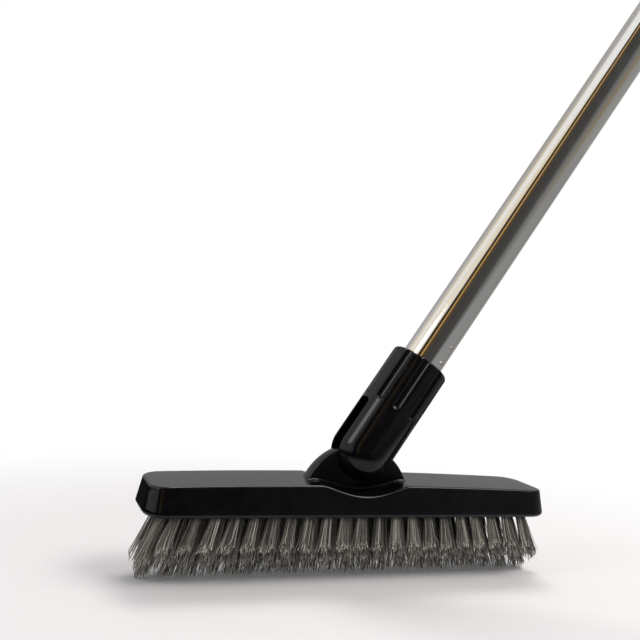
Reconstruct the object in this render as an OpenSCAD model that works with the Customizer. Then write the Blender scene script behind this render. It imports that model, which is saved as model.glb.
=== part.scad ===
// Grout brush: a narrow scrubbing head with V-trimmed bristles, on a swivel socket and a long tube pole.
// Frame: X along the head, Y across it, Z up. The origin is under the swivel pin, on the bristles' ridge.

/* [Head] */
// Length of the brush block
block_len = 215; // [208:1:230]
// Width of the block at its underside
block_w = 38; // [36:1:44]
// How much narrower the block is at its top, on each side
block_draft = 2.2; // [1:0.1:3]
// Height of the block in the middle
block_h = 15.5; // [14.5:0.1:16.5]
// Height of the block at its two ends
block_end_h = 13.5; // [12.5:0.1:14]
// Radius of the block's corners, seen from above
corner_r = 11; // [7:0.5:12]
// Rounding of the block's lower edge
low_edge_r = 2; // [1:0.25:2]
// Rounding of the block's upper edge
top_edge_r = 1.2; // [0.5:0.1:1.5]
// Depth of the dips that clear the socket's cheeks
dip_depth = 5; // [4.5:0.1:5.5]
// Half width of those dips, along the block
dip_half_w = 23.4; // [19:0.2:24]

/* [Bristles] */
// Length of the longest bristles, from the underside to the ridge
bristle_len = 32.5; // [30:0.5:38]
// Spacing of the tufts along a row
tuft_pitch = 9.2; // [8.8:0.1:9.2]
// Spacing of the rows
row_pitch = 6.4; // [6:0.1:6.4]
// Tufts in the rows at the middle and the two edges; the rows between have one more
row_tufts = 21; // [17:2:21]
// Lean of the last tuft towards the end of the block, in degrees
end_lean = 20; // [0:1:21]
// Lean of the outer rows away from the middle, in degrees
side_lean = 5; // [0:1:7]
// Rise of the trimmed V for each millimetre away from the ridge
trim_rise = 1.19; // [1:0.01:1.3]
// Thickness of the slice of backing that a row is fused to
slice_t = 1; // [0.8:0.1:1.5]

/* [Swivel] */
// Height of the swivel pin above the block's underside
pin_h = 25.7; // [25.5:0.1:26.5]
// Diameter of the swivel pin
pin_d = 5; // [4:0.5:5.5]
// Thickness of the block's tongue
tongue_t = 8.2; // [7.5:0.1:8.4]
// Radius of the tongue's domed outline
tongue_r = 29.3; // [28.5:0.1:29.8]
// Width of the slot between the socket's cheeks
slot_w = 9; // [8.8:0.1:10]
// Diameter of the swivel socket
socket_d = 31.2; // [30.6:0.1:31.4]
// Distance from the pin to the socket's rim
rim_s = 59.5; // [58.5:0.5:61]
// Distance from the pin to the roof of the slot
roof_s = 27.7; // [27.3:0.1:28.3]
// Distance from the pin to the centre of the cheeks' domed ends
cheek_s = 4.5; // [4:0.1:6]
// Number of grip flutes round the socket
flutes = 10; // [8:1:12]

/* [Pole and grip] */
// Outer diameter of the pole tube
pole_d = 22; // [20:0.5:22.5]
// Wall of the pole tube
pole_wall = 0.6; // [0.5:0.1:1]
// Length of the pole tube
pole_len = 1164; // [600:1:1400]
// Length of the hand grip
grip_len = 136; // [110:1:150]
// Wall of the hand grip
grip_wall = 2.4; // [2:0.1:3]

/* [Pose] */
// Lean of the pole from upright, towards +X, in degrees
pole_lean = 31.5; // [-75:0.5:75]

/* [Hidden] */

// Heights in the head, from the ridge at zero
under_z = bristle_len;
block_top_z = under_z + block_h;
pin_z = under_z + pin_h;

// Running and seating clearances, on the radius or the side
run_gap = 0.05;
seat_gap = 0.05;

// Domed tongue: its circle's centre is below the pin
tongue_centre_z = under_z + 3.5;
tongue_root = 3;

// Socket: mouth, seat and threaded seat
socket_r = socket_d / 2;
rim_edge_r = 2;
mouth_r = pole_d / 2 + 0.1;
shoulder_s = rim_s - 7.7;
thread_r = 9.45;
thread_floor_s = roof_s + 4;
dome_steps = 10;
roof_edge_r = 1.5;
flute_r = 3;
flute_depth = 1.3;
flute_end_s = rim_s - 27.5;
flute_phase = 178;
front_skin = 3.5;
back_recess = 2.2;

// Pole, its plug and the grip, as distances up from the pin
pole_r = pole_d / 2;
pole_bottom_s = shoulder_s + 0.1;
pole_top_s = pole_bottom_s + pole_len;
plug_len = 44;
spigot_r = thread_r - seat_gap;
crimp_r = 3;
crimp_depth = 0.35;
crimp_angle = -66;
grip_r = pole_r + grip_wall;
grip_top_s = pole_top_s + 15;
grip_low_s = grip_top_s - grip_len;
grip_dome = 18;
grip_flare = 0.7;
grip_flare_h = 8;

// Bristle rows and strands
row_numbers = [-2, -1, 0, 1, 2];
strand_root_r = 0.8;
strand_tip_r = 1.15;
strand_offset = 1.2;
strand_spread = 0.045;
strand_embed = 0.4;
ridge_flat = 0.5;
strand_twist = 47;
slice_margin = 2.7;
slice_gap = 0.1;
anchor = [0.5, 2.6, 3];
anchor_depth = 1.2;

// Stations of the block's loft: corner steps and steps along a side
corner_steps = 8;
side_steps = 10;

// Height of the block at a distance x from its middle, crowned along its length
function crown(x) = block_h - (block_h - block_end_h) * pow(2 * x / block_len, 2);

// One quarter of the plan outline, from the corner at the end to the side's middle, drawn in by d
function quarter(d) =
    let(a = block_len / 2 - d, b = block_w / 2 - d, r = corner_r - d)
    concat([for (i = [0 : corner_steps]) let(t = 90 * i / corner_steps) [a - r + r * cos(t), b - r + r * sin(t)]],
        [for (i = [1 : side_steps]) [(a - r) * (1 - i / side_steps), b]]);

// Half of the outline, over y >= 0, from the +X end to the -X end
function half(d) =
    let(q = quarter(d), n = len(q))
    concat(q, [for (i = [n - 2 : -1 : 0]) [-q[i][0], q[i][1]]]);

// The whole outline, with the second half mirrored in y
function outline(d) =
    let(h = half(d), n = len(h))
    concat(h, [for (i = [n - 1 : -1 : 0]) [h[i][0], -h[i][1]]]);

// Levels of the loft: how far in, height from the underside, and share of the crowned height
function levels() =
    let(r = low_edge_r, t = top_edge_r, d = block_draft)
    concat([for (a = [90 : -22.5 : 0]) [r - r * cos(a), r - r * sin(a), 0]],
        [for (a = [0 : 30 : 90]) [d + t - t * cos(a), -t + t * sin(a), 1]]);

// The block without its tongue, dips and pocket
module block_body() {
    lv = levels();
    loops = [for (l = lv) [for (p = outline(l[0])) [p[0], p[1], under_z + l[1] + l[2] * crown(p[0])]]];
    n = len(loops[0]);
    m = len(loops);
    points = [for (loop = loops) for (p = loop) p];
    sides = [for (k = [0 : m - 2]) for (i = [0 : n - 1])
        let(a = k * n + i, b = k * n + (i + 1) % n) each [[a, b + n, b], [a, a + n, b + n]]];
    // Each cap is made of strips across the block, between a point and its mirror image
    low = [for (i = [0 : n / 2 - 2]) let(c = n - 1 - i) each [[i, i + 1, c - 1], [i, c - 1, c]]];
    top = [for (f = low) [for (j = [2 : -1 : 0]) f[j] + (m - 1) * n]];
    polyhedron(points, concat(sides, low, top));
}

// The dips' outline, seen along Y: deepest under the pin and level with the top at both sides
module dip_outline() {
    steps = 28;
    polygon(concat(
        [for (i = [0 : steps]) let(x = dip_half_w * (2 * i / steps - 1))
            [x, block_top_z - dip_depth * pow(1 - pow(x / dip_half_w, 2), 1.5)]],
        [[dip_half_w, block_top_z + 2], [-dip_half_w, block_top_z + 2]]));
}

// Half length of the slice under a row
function slice_half(row) = last_tuft_x(row) + slice_margin + (abs(row) == 2 ? 0 : 0.8);

module slice(row, extra) {
    half_l = slice_half(row) + extra;
    half_w = (row_pitch - slice_gap) / 2 + extra;
    translate([-half_l, row * row_pitch - half_w, under_z])
        cube([2 * half_l, 2 * half_w, slice_t]);
}

module brush_block() {
    color("#17171a") difference() {
        union() {
            difference() {
                block_body();
                for (side = [-1, 1])
                    translate([0, side * (tongue_t / 2 + block_w / 2) + block_w / 2, 0])
                        rotate([90, 0, 0]) linear_extrude(block_w) dip_outline();
            }
            intersection() {
                translate([0, tongue_t / 2, tongue_centre_z]) rotate([90, 0, 0])
                    cylinder(r = tongue_r, h = tongue_t, $fn = 96);
                translate([-tongue_r, -block_w, block_top_z - tongue_root])
                    cube([2 * tongue_r, 2 * block_w, tongue_r + pin_h]);
            }
            // The tongue's root stays full between the two dips
            translate([-dip_half_w - 2, -tongue_t / 2, block_top_z - dip_depth - 1])
                cube([2 * dip_half_w + 4, tongue_t, dip_depth]);
        }
        translate([0, block_w, pin_z]) rotate([90, 0, 0])
            cylinder(r = pin_d / 2 + run_gap, h = 2 * block_w, $fn = 48);
        translate([0, 0, -1]) for (row = row_numbers) {
            half_l = slice_half(row) + seat_gap;
            half_w = row_pitch / 2 + seat_gap;
            translate([-half_l, row * row_pitch - half_w, under_z])
                cube([2 * half_l, 2 * half_w, slice_t + 1]);
        }
    }
}

// Tufts in a row, and the place of the last one
function tufts_in(row) = row_tufts + abs(row) % 2;
function last_tuft_x(row) = (tufts_in(row) - 1) / 2 * tuft_pitch;

// Slopes of a tuft: millimetres sideways for each millimetre down
function slope_x(x) = tan(end_lean * x / last_tuft_x(1));
function slope_y(row) = tan(side_lean * row / 2);

// Height at which a line from (y at the underside, slope) meets the trimmed V
function trim_z(y, slope) =
    let(out = abs(y) < 0.01 ? 1 : sign(y), s = slope * out)
    max(0, (trim_rise * (abs(y) + under_z * s) - ridge_flat) / (1 + trim_rise * s));

// One strand: three-sided, thicker towards its trimmed tip
module strand(x, y, sx, sy, flat_tip, twist) {
    root_z = under_z + strand_embed;
    ring = [for (k = [0 : 2]) [cos(120 * k + twist), sin(120 * k + twist)]];
    root = [for (u = ring) [x - sx * strand_embed + strand_root_r * u[0],
        y - sy * strand_embed + strand_root_r * u[1], root_z]];
    mid_z = flat_tip ? 0 : trim_z(y, sy);
    tip = [for (u = ring)
        let(ty = y + sy * (under_z - mid_z) + strand_tip_r * u[1],
            z = flat_tip ? 0 : max(0, trim_rise * abs(ty) - ridge_flat))
        [x + sx * (under_z - z) + strand_tip_r * u[0], ty, z]];
    polyhedron(concat(root, tip), [[2, 1, 0], [3, 4, 5], [0, 1, 4], [0, 4, 3], [1, 2, 5], [1, 5, 4],
        [2, 0, 3], [2, 3, 5]]);
}

// One tuft: four strands that stand apart and spread as they leave the block
module tuft(x, row, count) {
    y = row * row_pitch;
    for (k = [0 : 3]) {
        dx = cos(90 * k);
        dy = sin(90 * k);
        strand(x + strand_offset * dx, y + strand_offset * dy,
            slope_x(x) + strand_spread * dx, slope_y(row) + strand_spread * dy,
            row == 0 && k % 2 == 0, strand_twist * (count * 4 + k));
    }
}

module bristle_row(row) {
    color("#7d786f") union() {
        slice(row, 0);
        for (i = [0 : tufts_in(row) - 1])
            tuft((i - (tufts_in(row) - 1) / 2) * tuft_pitch, row, i);
    }
}

module bristle_row_1() bristle_row(-2);
module bristle_row_2() bristle_row(-1);
module bristle_row_3() bristle_row(0);
module bristle_row_4() bristle_row(1);
module bristle_row_5() bristle_row(2);

// A flat wire anchor above each tuft, driven into the block
module tuft_anchors() {
    color("silver") for (row = row_numbers)
        for (i = [0 : tufts_in(row) - 1])
            translate([(i - (tufts_in(row) - 1) / 2) * tuft_pitch - anchor[0] / 2,
                row * row_pitch - anchor[1] / 2, under_z + slice_t + anchor_depth])
                cube(anchor);
}

// Places a piece of the handle: its own Z runs up the pole from the swivel pin
module on_handle() {
    translate([0, 0, pin_z]) rotate([0, pole_lean, 0]) children();
}

// A cylinder across the handle, along the pin, from y0 to y1
module across(r, y0, y1, fn) {
    translate([0, y1, 0]) rotate([90, 0, 0]) cylinder(r = r, h = y1 - y0, $fn = fn);
}

// The socket's outside, turned: a domed lower end, straight sides and a rounded rim
module socket_outside() {
    rotate_extrude($fn = 96)
        polygon(concat(
            [for (i = [0 : dome_steps]) let(a = 90 * i / dome_steps)
                [socket_r * sin(a), cheek_s - socket_r * cos(a)]],
            [for (a = [0 : 15 : 90]) [socket_r - rim_edge_r + rim_edge_r * cos(a),
                rim_s - rim_edge_r + rim_edge_r * sin(a)]],
            [[0, rim_s]]));
}

module slot() {
    half_w = slot_w / 2;
    translate([-socket_d, -half_w, -socket_d]) cube([2 * socket_d, slot_w, socket_d + roof_s - roof_edge_r]);
    translate([-socket_d, -half_w + roof_edge_r, 0]) cube([2 * socket_d, slot_w - 2 * roof_edge_r, roof_s]);
    for (side = [-1, 1])
        translate([-socket_d, side * (half_w - roof_edge_r), roof_s - roof_edge_r]) rotate([0, 90, 0])
            cylinder(r = roof_edge_r, h = 2 * socket_d, $fn = 48);
}

// Grip flutes from the rim down, with rounded lower ends
module flute_cuts() {
    for (i = [0 : flutes - 1])
        rotate([0, 0, flute_phase + i * 360 / flutes])
            translate([socket_r + flute_r - flute_depth, 0, flute_end_s]) {
                cylinder(r = flute_r, h = rim_s, $fn = 48);
                sphere(r = flute_r, $fn = 48);
            }
}

module swivel_socket() {
    color("#17171a") on_handle() difference() {
        socket_outside();
        slot();
        flute_cuts();
        // Pin seat: through the back cheek, blind in the front one
        across(pin_d / 2, -socket_r + front_skin, socket_d, 48);
        translate([0, 0, thread_floor_s]) cylinder(r = thread_r, h = rim_s, $fn = 96);
        translate([0, 0, shoulder_s]) cylinder(r = mouth_r, h = rim_s, $fn = 96);
    }
}

module pivot_pin() {
    color("silver") on_handle()
        across(pin_d / 2, -socket_r + front_skin + 0.2, socket_r - back_recess, 48);
}

// Plastic plug in the pole's lower end; its spigot screws into the socket
module pole_plug() {
    color("#2a2a2c") on_handle() {
        translate([0, 0, thread_floor_s + 1]) cylinder(r = spigot_r, h = pole_bottom_s - thread_floor_s, $fn = 64);
        translate([0, 0, pole_bottom_s]) cylinder(r = pole_r - pole_wall - seat_gap, h = plug_len, $fn = 64);
    }
}

module pole_tube() {
    color("#c9c9c6") on_handle() difference() {
        translate([0, 0, pole_bottom_s]) cylinder(r = pole_r, h = pole_len, $fn = 96);
        translate([0, 0, pole_bottom_s - 1]) cylinder(r = pole_r - pole_wall, h = pole_len + 2, $fn = 96);
        // Crimp marks that hold the plug
        for (s = [rim_s + 3.2, rim_s + 12.7])
            rotate([0, 0, crimp_angle]) translate([pole_r + crimp_r - crimp_depth, 0, s])
                sphere(r = crimp_r, $fn = 32);
    }
}

// The grip's outside and bore, turned: flared at the bottom, domed at the top
module hand_grip() {
    dome_s = grip_top_s - grip_dome;
    color("#a01c12") on_handle() rotate_extrude($fn = 96)
        polygon(concat(
            [[pole_r, grip_low_s + 0.6], [pole_r + 0.6, grip_low_s], [grip_r + grip_flare - 0.8, grip_low_s]],
            [for (a = [-60 : 30 : 0]) [grip_r + grip_flare - 0.8 + 0.8 * cos(a), grip_low_s + 0.8 + 0.8 * sin(a)]],
            [for (i = [1 : 6]) let(u = i / 6) [grip_r + grip_flare * (1 + cos(180 * u)) / 2,
                grip_low_s + 0.8 + grip_flare_h * u]],
            [for (i = [0 : 17]) let(u = sin(90 * i / 18)) [grip_r * pow(1 - u * u, 0.58), dome_s + grip_dome * u]],
            [[0, grip_top_s], [0, pole_top_s + 0.4], [pole_r, pole_top_s + 0.4]]));
}

brush_block();
bristle_row_1();
bristle_row_2();
bristle_row_3();
bristle_row_4();
bristle_row_5();
tuft_anchors();
swivel_socket();
pivot_pin();
pole_plug();
pole_tube();
hand_grip();
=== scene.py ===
"""Grout brush: a narrow V-trimmed scrubbing head on a swivel socket, a chromed pole, a red grip.

Lengths in the classes are millimetres in the object's frame: X along the head, Y across it and
Z up, with the origin on the bristles' ridge under the swivel pin. Meshes are written in metres.
"""

from __future__ import annotations

import logging
import math
from dataclasses import dataclass, field
from enum import Enum
from typing import Sequence

import bmesh
import bpy
import numpy as np
from mathutils import Matrix, Vector


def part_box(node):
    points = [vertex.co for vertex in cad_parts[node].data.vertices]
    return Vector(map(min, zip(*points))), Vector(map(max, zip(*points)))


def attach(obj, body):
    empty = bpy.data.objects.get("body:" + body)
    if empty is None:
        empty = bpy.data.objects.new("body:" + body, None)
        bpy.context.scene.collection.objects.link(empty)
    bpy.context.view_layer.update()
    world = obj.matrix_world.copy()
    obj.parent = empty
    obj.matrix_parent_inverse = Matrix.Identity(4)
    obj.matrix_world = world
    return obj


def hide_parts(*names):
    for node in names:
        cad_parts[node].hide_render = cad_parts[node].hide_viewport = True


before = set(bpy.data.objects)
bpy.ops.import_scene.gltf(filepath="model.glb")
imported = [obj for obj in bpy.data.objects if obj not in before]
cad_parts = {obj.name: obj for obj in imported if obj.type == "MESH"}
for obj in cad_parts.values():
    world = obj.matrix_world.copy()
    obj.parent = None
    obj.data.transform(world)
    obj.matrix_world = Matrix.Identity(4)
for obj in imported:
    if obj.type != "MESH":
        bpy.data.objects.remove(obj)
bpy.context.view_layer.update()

LOG = logging.getLogger("grout_brush")
MM = 0.001
TURN = 2 * math.pi
Array = np.ndarray
Colour = tuple[float, float, float]
Place = tuple[float, float, float]
Span = tuple[float, float]
Material = bpy.types.Material
Node = bpy.types.Node
Object = bpy.types.Object
Socket = bpy.types.NodeSocket


class Body(Enum):
    """The two bodies that pieces ride on."""

    HANDLE = "handle"
    HEAD = "head"


class Finish(Enum):
    """The finishes of the record that pieces are dressed in."""

    BLACK_PLASTIC = "black_plastic"
    DARK_PLASTIC = "dark_plastic"
    GREY_BRISTLE = "grey_bristle"
    ANCHOR_WIRE = "anchor_wire"
    PIN_STEEL = "pin_steel"
    POLE_CHROME = "pole_chrome"
    RED_GRIP = "red_grip"


# ---------------------------------------------------------------- surfaces


@dataclass
class Shell:
    """A mesh gathered from patches of points that are worked out as whole arrays."""

    points: list[Array] = field(default_factory=list)
    quads: list[Array] = field(default_factory=list)
    uvs: list[Array] = field(default_factory=list)
    count: int = 0

    def take(self, points: Array, uv: Array, quads: Array) -> None:
        """Takes in a patch.

        Args:
            points: Points in millimetres, with the coordinates last.
            uv: Their texture coordinates.
            quads: The faces, each as the numbers of four points in this patch.
        """
        self.points.append(points.reshape(-1, 3))
        self.uvs.append(uv.reshape(-1, 2))
        self.quads.append(quads.reshape(-1, 4) + self.count)
        self.count += len(self.points[-1])

    def grid(self, p: Array, wrap: bool = False, flip: bool = False) -> None:
        """Adds a patch whose point (i, j) joins its neighbours (i + 1, j) and (i, j + 1).

        Args:
            p: Points, shaped (rows, columns, 3), in millimetres.
            wrap: Whether the last column joins the first one.
            flip: Whether the faces turn the other way round.
        """
        rows, cols = p.shape[:2]
        i = np.arange(rows - 1)[:, None] * cols
        j = np.arange(cols if wrap else cols - 1)[None, :]
        k = (j + 1) % cols
        quads = np.stack([i + j, i + k, i + cols + k, i + cols + j], axis=-1)
        v, u = np.meshgrid(np.linspace(0, 1, rows), np.linspace(0, 1, cols), indexing="ij")
        self.take(p, np.stack([u, v], axis=-1), quads[..., ::-1] if flip else quads)

    def build(self, name: str, merge: float = 0.002, sharp: float = 38.0) -> Object:
        """Makes the mesh object, welds the patches' seams and marks its sharp edges.

        Args:
            name: The piece's name.
            merge: Distance in millimetres within which points are welded.
            sharp: Angle in degrees above which an edge stays sharp.

        Returns:
            The new object, at the origin.
        """
        points, quads = np.concatenate(self.points) * MM, np.concatenate(self.quads)
        mesh = bpy.data.meshes.new(name)
        mesh.vertices.add(len(points))
        mesh.vertices.foreach_set("co", points.astype(np.float32).ravel())
        mesh.loops.add(quads.size)
        mesh.loops.foreach_set("vertex_index", quads.astype(np.int32).ravel())
        mesh.polygons.add(len(quads))
        mesh.polygons.foreach_set("loop_start", np.arange(0, quads.size, 4, dtype=np.int32))
        mesh.update(calc_edges=True)
        uvs = np.concatenate(self.uvs)[quads.ravel()]
        layer = mesh.uv_layers.new(name="UVMap")
        layer.data.foreach_set("uv", uvs.astype(np.float32).ravel())
        mesh.validate()
        bm = bmesh.new()
        bm.from_mesh(mesh)
        bmesh.ops.remove_doubles(bm, verts=bm.verts, dist=merge * MM)
        bmesh.ops.dissolve_degenerate(bm, dist=merge * MM * 0.5, edges=bm.edges)
        bm.to_mesh(mesh)
        bm.free()
        mesh.shade_smooth()
        mesh.set_sharp_from_angle(angle=math.radians(sharp))
        obj = bpy.data.objects.new(name, mesh)
        bpy.context.scene.collection.objects.link(obj)
        return obj


def join(piece: Object, other: Object, sharp: float) -> None:
    """Adds another object's mesh to a piece, and removes that object.

    Args:
        piece: The piece that stays.
        other: The object whose mesh it takes in.
        sharp: Angle in degrees above which an edge stays sharp.
    """
    bm = bmesh.new()
    bm.from_mesh(piece.data)
    bm.from_mesh(other.data)
    bm.to_mesh(piece.data)
    bm.free()
    bpy.data.objects.remove(other)
    piece.data.set_sharp_from_angle(angle=math.radians(sharp))


# ---------------------------------------------------------------- finishes


class Group(Enum):
    """Shader node groups shared by several finishes."""

    GRAIN = "moulded_grain"
    DRAWN = "drawn_lines"


def rgba(shade: float | Colour) -> tuple[float, float, float, float]:
    """An opaque colour, from RGB or from one grey level."""
    return (shade, shade, shade, 1.0) if isinstance(shade, float) else (*shade, 1.0)


@dataclass
class NodeKit:
    """Short ways to place and join shader nodes in one tree."""

    tree: bpy.types.NodeTree

    def add(self, kind: str, **values: object) -> Node:
        """Adds a node.

        Args:
            kind: The node's type, after the word ShaderNode.
            values: Its properties, or its inputs by name, with _ for a space, or by _ and their
                number. An input gets a plain value, or the output that leads it.

        Returns:
            The node.
        """
        node = self.tree.nodes.new(f"ShaderNode{kind}")
        for key, value in values.items():
            label = key.replace("_", " ").strip()
            if hasattr(node, key):
                setattr(node, key, value)
                continue
            socket = node.inputs[int(label) if label.isdigit() else label]
            if isinstance(value, Socket):
                self.tree.links.new(value, socket)
            else:
                socket.default_value = value
        return node

    def ramp(self, source: Socket, stops: Sequence[tuple[float, float | Colour]]) -> Socket:
        """Adds a colour ramp.

        Args:
            source: The output that leads it.
            stops: Places, and RGB colours or grey levels, in order.

        Returns:
            The ramp's colour.
        """
        node = self.add("ValToRGB", Fac=source)
        elements = node.color_ramp.elements
        while len(elements) < len(stops):
            elements.new(0.5)
        for element, (place, shade) in zip(elements, stops):
            element.position = place
            element.color = rgba(shade)
        return node.outputs[0]

    def mix(self, mask: Socket, a: Colour, b: Colour) -> Socket:
        """Mixes two plain colours: a where the mask is 0 and b where it is 1."""
        return self.add("Mix", data_type="RGBA", _0=mask, _6=rgba(a), _7=rgba(b)).outputs[2]

    def span(self, source: Socket, low: float, high: float) -> Socket:
        """Maps the range 0 to 1 onto low to high."""
        return self.add("MapRange", To_Min=low, To_Max=high, Value=source).outputs[0]

    def bump(self, height: Socket, strength: float, distance: float) -> Socket:
        """Turns a height into a normal."""
        return self.add("Bump", Strength=strength, Distance=distance, Height=height).outputs[0]

    def surface(self, shader: Node) -> None:
        """Makes a shader the material's surface."""
        self.add("OutputMaterial", Surface=shader.outputs[0])


class GroupShelf:
    """Builds each shared node group once and places copies of it."""

    def __init__(self) -> None:
        """Starts with an empty shelf."""
        self.made: dict[Group, bpy.types.NodeTree] = {}

    def place(self, kit: NodeKit, group: Group, **values: float | Socket) -> Node:
        """Places a group in a material.

        Args:
            kit: The material's nodes.
            group: Which group.
            values: Its inputs, as NodeKit.add takes them.

        Returns:
            The group's node.
        """
        if group not in self.made:
            self.made[group] = {Group.GRAIN: self.grain, Group.DRAWN: self.drawn}[group]()
        return kit.add("Group", node_tree=self.made[group], **values)

    @staticmethod
    def start(group: Group, numbers: dict[str, float]) -> tuple[NodeKit, Sequence[Socket]]:
        """Makes an empty group that takes a vector and some numbers.

        Args:
            group: Which group.
            numbers: Names and defaults of the numbers.

        Returns:
            Its node kit, and the sockets that the group is given.
        """
        tree = bpy.data.node_groups.new(group.value, "ShaderNodeTree")
        tree.interface.new_socket(name="Vector", in_out="INPUT", socket_type="NodeSocketVector")
        for name, value in numbers.items():
            socket = tree.interface.new_socket(
                name=name, in_out="INPUT", socket_type="NodeSocketFloat")
            socket.default_value = value
        return NodeKit(tree), tree.nodes.new("NodeGroupInput").outputs

    @staticmethod
    def end(kit: NodeKit, results: dict[str, Socket]) -> bpy.types.NodeTree:
        """Gives a group its outputs.

        Args:
            kit: The group's nodes.
            results: Names of the outputs and the sockets that lead them.

        Returns:
            The finished group.
        """
        for name in results:
            kit.tree.interface.new_socket(
                name=name, in_out="OUTPUT", socket_type="NodeSocketFloat")
        out = kit.tree.nodes.new("NodeGroupOutput")
        for name, source in results.items():
            kit.tree.links.new(source, out.inputs[name])
        return kit.tree

    def grain(self) -> bpy.types.NodeTree:
        """A moulded surface: slow waviness with fine grain, and a few smudges.

        Returns:
            The group, with outputs Height and Smudge.
        """
        kit, given = self.start(
            Group.GRAIN, {"Wave Scale": 60.0, "Grain Scale": 1800.0, "Grain Share": 0.3})
        where = given["Vector"]
        wave = kit.add("TexNoise", Vector=where, Scale=given["Wave Scale"],
                       Detail=2.0, Roughness=0.4)
        fine = kit.add("TexNoise", Vector=where, Scale=given["Grain Scale"],
                       Detail=3.0, Roughness=0.6)
        smudge = kit.add("TexNoise", Vector=where, Scale=95.0,
                         Detail=6.0, Roughness=0.62, Distortion=0.6)
        height = kit.add("Mix", data_type="FLOAT", _0=given["Grain Share"],
                         _2=wave.outputs[0], _3=fine.outputs[0])
        level = kit.ramp(smudge.outputs[0], [(0.42, 0.0), (0.72, 1.0)])
        return self.end(kit, {"Height": height.outputs[0], "Smudge": level})

    def drawn(self) -> bpy.types.NodeTree:
        """A drawn metal: fine lines along the vector's Z, and faint handling marks.

        Returns:
            The group, with outputs Lines, Marks and Tint.
        """
        kit, given = self.start(Group.DRAWN, {"Line Scale": 1500.0, "Stretch": 0.01})
        squeeze = kit.add("CombineXYZ", X=1.0, Y=1.0, Z=given["Stretch"])
        along = kit.add("VectorMath", operation="MULTIPLY",
                        _0=given["Vector"], _1=squeeze.outputs[0]).outputs[0]
        lines = kit.add("TexNoise", Vector=along, Scale=given["Line Scale"],
                        Detail=4.0, Roughness=0.7)
        tint = kit.add("TexNoise", Vector=along, Scale=260.0, Detail=2.0, Roughness=0.5)
        marks = kit.add("TexNoise", Vector=given["Vector"], Scale=70.0,
                        Detail=7.0, Roughness=0.66, Distortion=0.4)
        level = kit.ramp(marks.outputs[0], [(0.5, 0.0), (0.78, 1.0)])
        return self.end(kit, {"Lines": lines.outputs[0], "Marks": level, "Tint": tint.outputs[0]})


SHELF = GroupShelf()


def blank_material(name: str) -> tuple[Material, NodeKit, Socket]:
    """Makes a material with nothing in it but the object's coordinates.

    Args:
        name: The material's name.

    Returns:
        The material, its node kit and its Object coordinates.
    """
    mat = bpy.data.materials.new(name)
    mat.use_nodes = True
    mat.node_tree.nodes.clear()
    kit = NodeKit(mat.node_tree)
    return mat, kit, kit.add("TexCoord").outputs["Object"]


@dataclass(frozen=True)
class MouldedPlastic:
    """Injection-moulded plastic: even colour, faint waviness, fine grain and a few smudges."""

    colour: Colour
    worn: Colour
    rough: Span
    coat: float = 0.0
    wave_scale: float = 60.0
    grain_scale: float = 1800.0
    bump: float = 0.00006
    specular: float = 0.5

    def material(self, name: str) -> Material:
        """Builds the material.

        Args:
            name: Its name.

        Returns:
            The material.
        """
        mat, kit, where = blank_material(name)
        grain = SHELF.place(kit, Group.GRAIN, Vector=where,
                            Wave_Scale=self.wave_scale, Grain_Scale=self.grain_scale)
        smudge = grain.outputs["Smudge"]
        kit.surface(kit.add(
            "BsdfPrincipled", Base_Color=kit.mix(smudge, self.colour, self.worn),
            Roughness=kit.span(smudge, *self.rough),
            Normal=kit.bump(grain.outputs["Height"], 0.5, self.bump),
            Coat_Weight=self.coat, Coat_Roughness=0.12, IOR=1.5,
            Specular_IOR_Level=self.specular))
        return mat


@dataclass(frozen=True)
class DrawnMetal:
    """Bright metal drawn along its length: fine lines, faint warm streaks and handling marks."""

    colour: Colour
    streak: Colour
    rough: Span
    lean: float = 0.0
    bump: float = 0.00001

    def material(self, name: str) -> Material:
        """Builds the material, with its lines turned by the lean of the piece.

        Args:
            name: Its name.

        Returns:
            The material.
        """
        mat, kit, where = blank_material(name)
        turn = kit.add("Mapping", Vector=where, Rotation=(0.0, -math.radians(self.lean), 0.0))
        drawn = SHELF.place(kit, Group.DRAWN, Vector=turn.outputs[0])
        tint = kit.ramp(drawn.outputs["Tint"], [(0.48, 0.0), (0.66, 1.0)])
        kit.surface(kit.add(
            "BsdfPrincipled", Base_Color=kit.mix(tint, self.colour, self.streak),
            Roughness=kit.span(drawn.outputs["Marks"], *self.rough),
            Normal=kit.bump(drawn.outputs["Lines"], 0.35, self.bump), Metallic=1.0))
        return mat


@dataclass(frozen=True)
class BristleFibre:
    """Stiff grey filaments: darker at the root, where the colour is painted shade under the block,
    paler at the cut tip, each of its own tone.
    """

    # The dark root colour is painted shade: the filaments are coloured darker where they stand
    # close under the block.
    root: Colour = (0.13, 0.126, 0.115)
    middle: Colour = (0.36, 0.348, 0.318)
    tip: Colour = (0.62, 0.605, 0.565)
    shades: tuple[tuple[float, Colour], ...] = (
        (0.0, (0.16, 0.155, 0.145)), (0.45, (0.62, 0.61, 0.58)), (0.8, (1.3, 1.26, 1.16)),
        (1.0, (2.3, 2.24, 2.1)))

    def material(self, name: str) -> Material:
        """Builds the material, led by each filament's map: u is its random tone times its row's
        painted shade, v runs to its tip.

        Args:
            name: Its name.

        Returns:
            The material.
        """
        mat, kit, where = blank_material(name)
        split = kit.add("SeparateXYZ", _0=kit.add("UVMap", uv_map="UVMap").outputs[0])
        along = kit.ramp(split.outputs["Y"], [(0.0, self.root), (0.22, self.middle),
                                              (0.93, self.middle), (1.0, self.tip)])
        colour = kit.add("Mix", data_type="RGBA", blend_type="MULTIPLY", _0=1.0, _6=along,
                         _7=kit.ramp(split.outputs["X"], self.shades))
        noise = kit.add("TexNoise", Vector=where, Scale=900.0, Detail=3.0)
        kit.surface(kit.add("BsdfPrincipled", Base_Color=colour.outputs[2],
                            Roughness=kit.span(noise.outputs[0], 0.3, 0.6)))
        return mat


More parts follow.
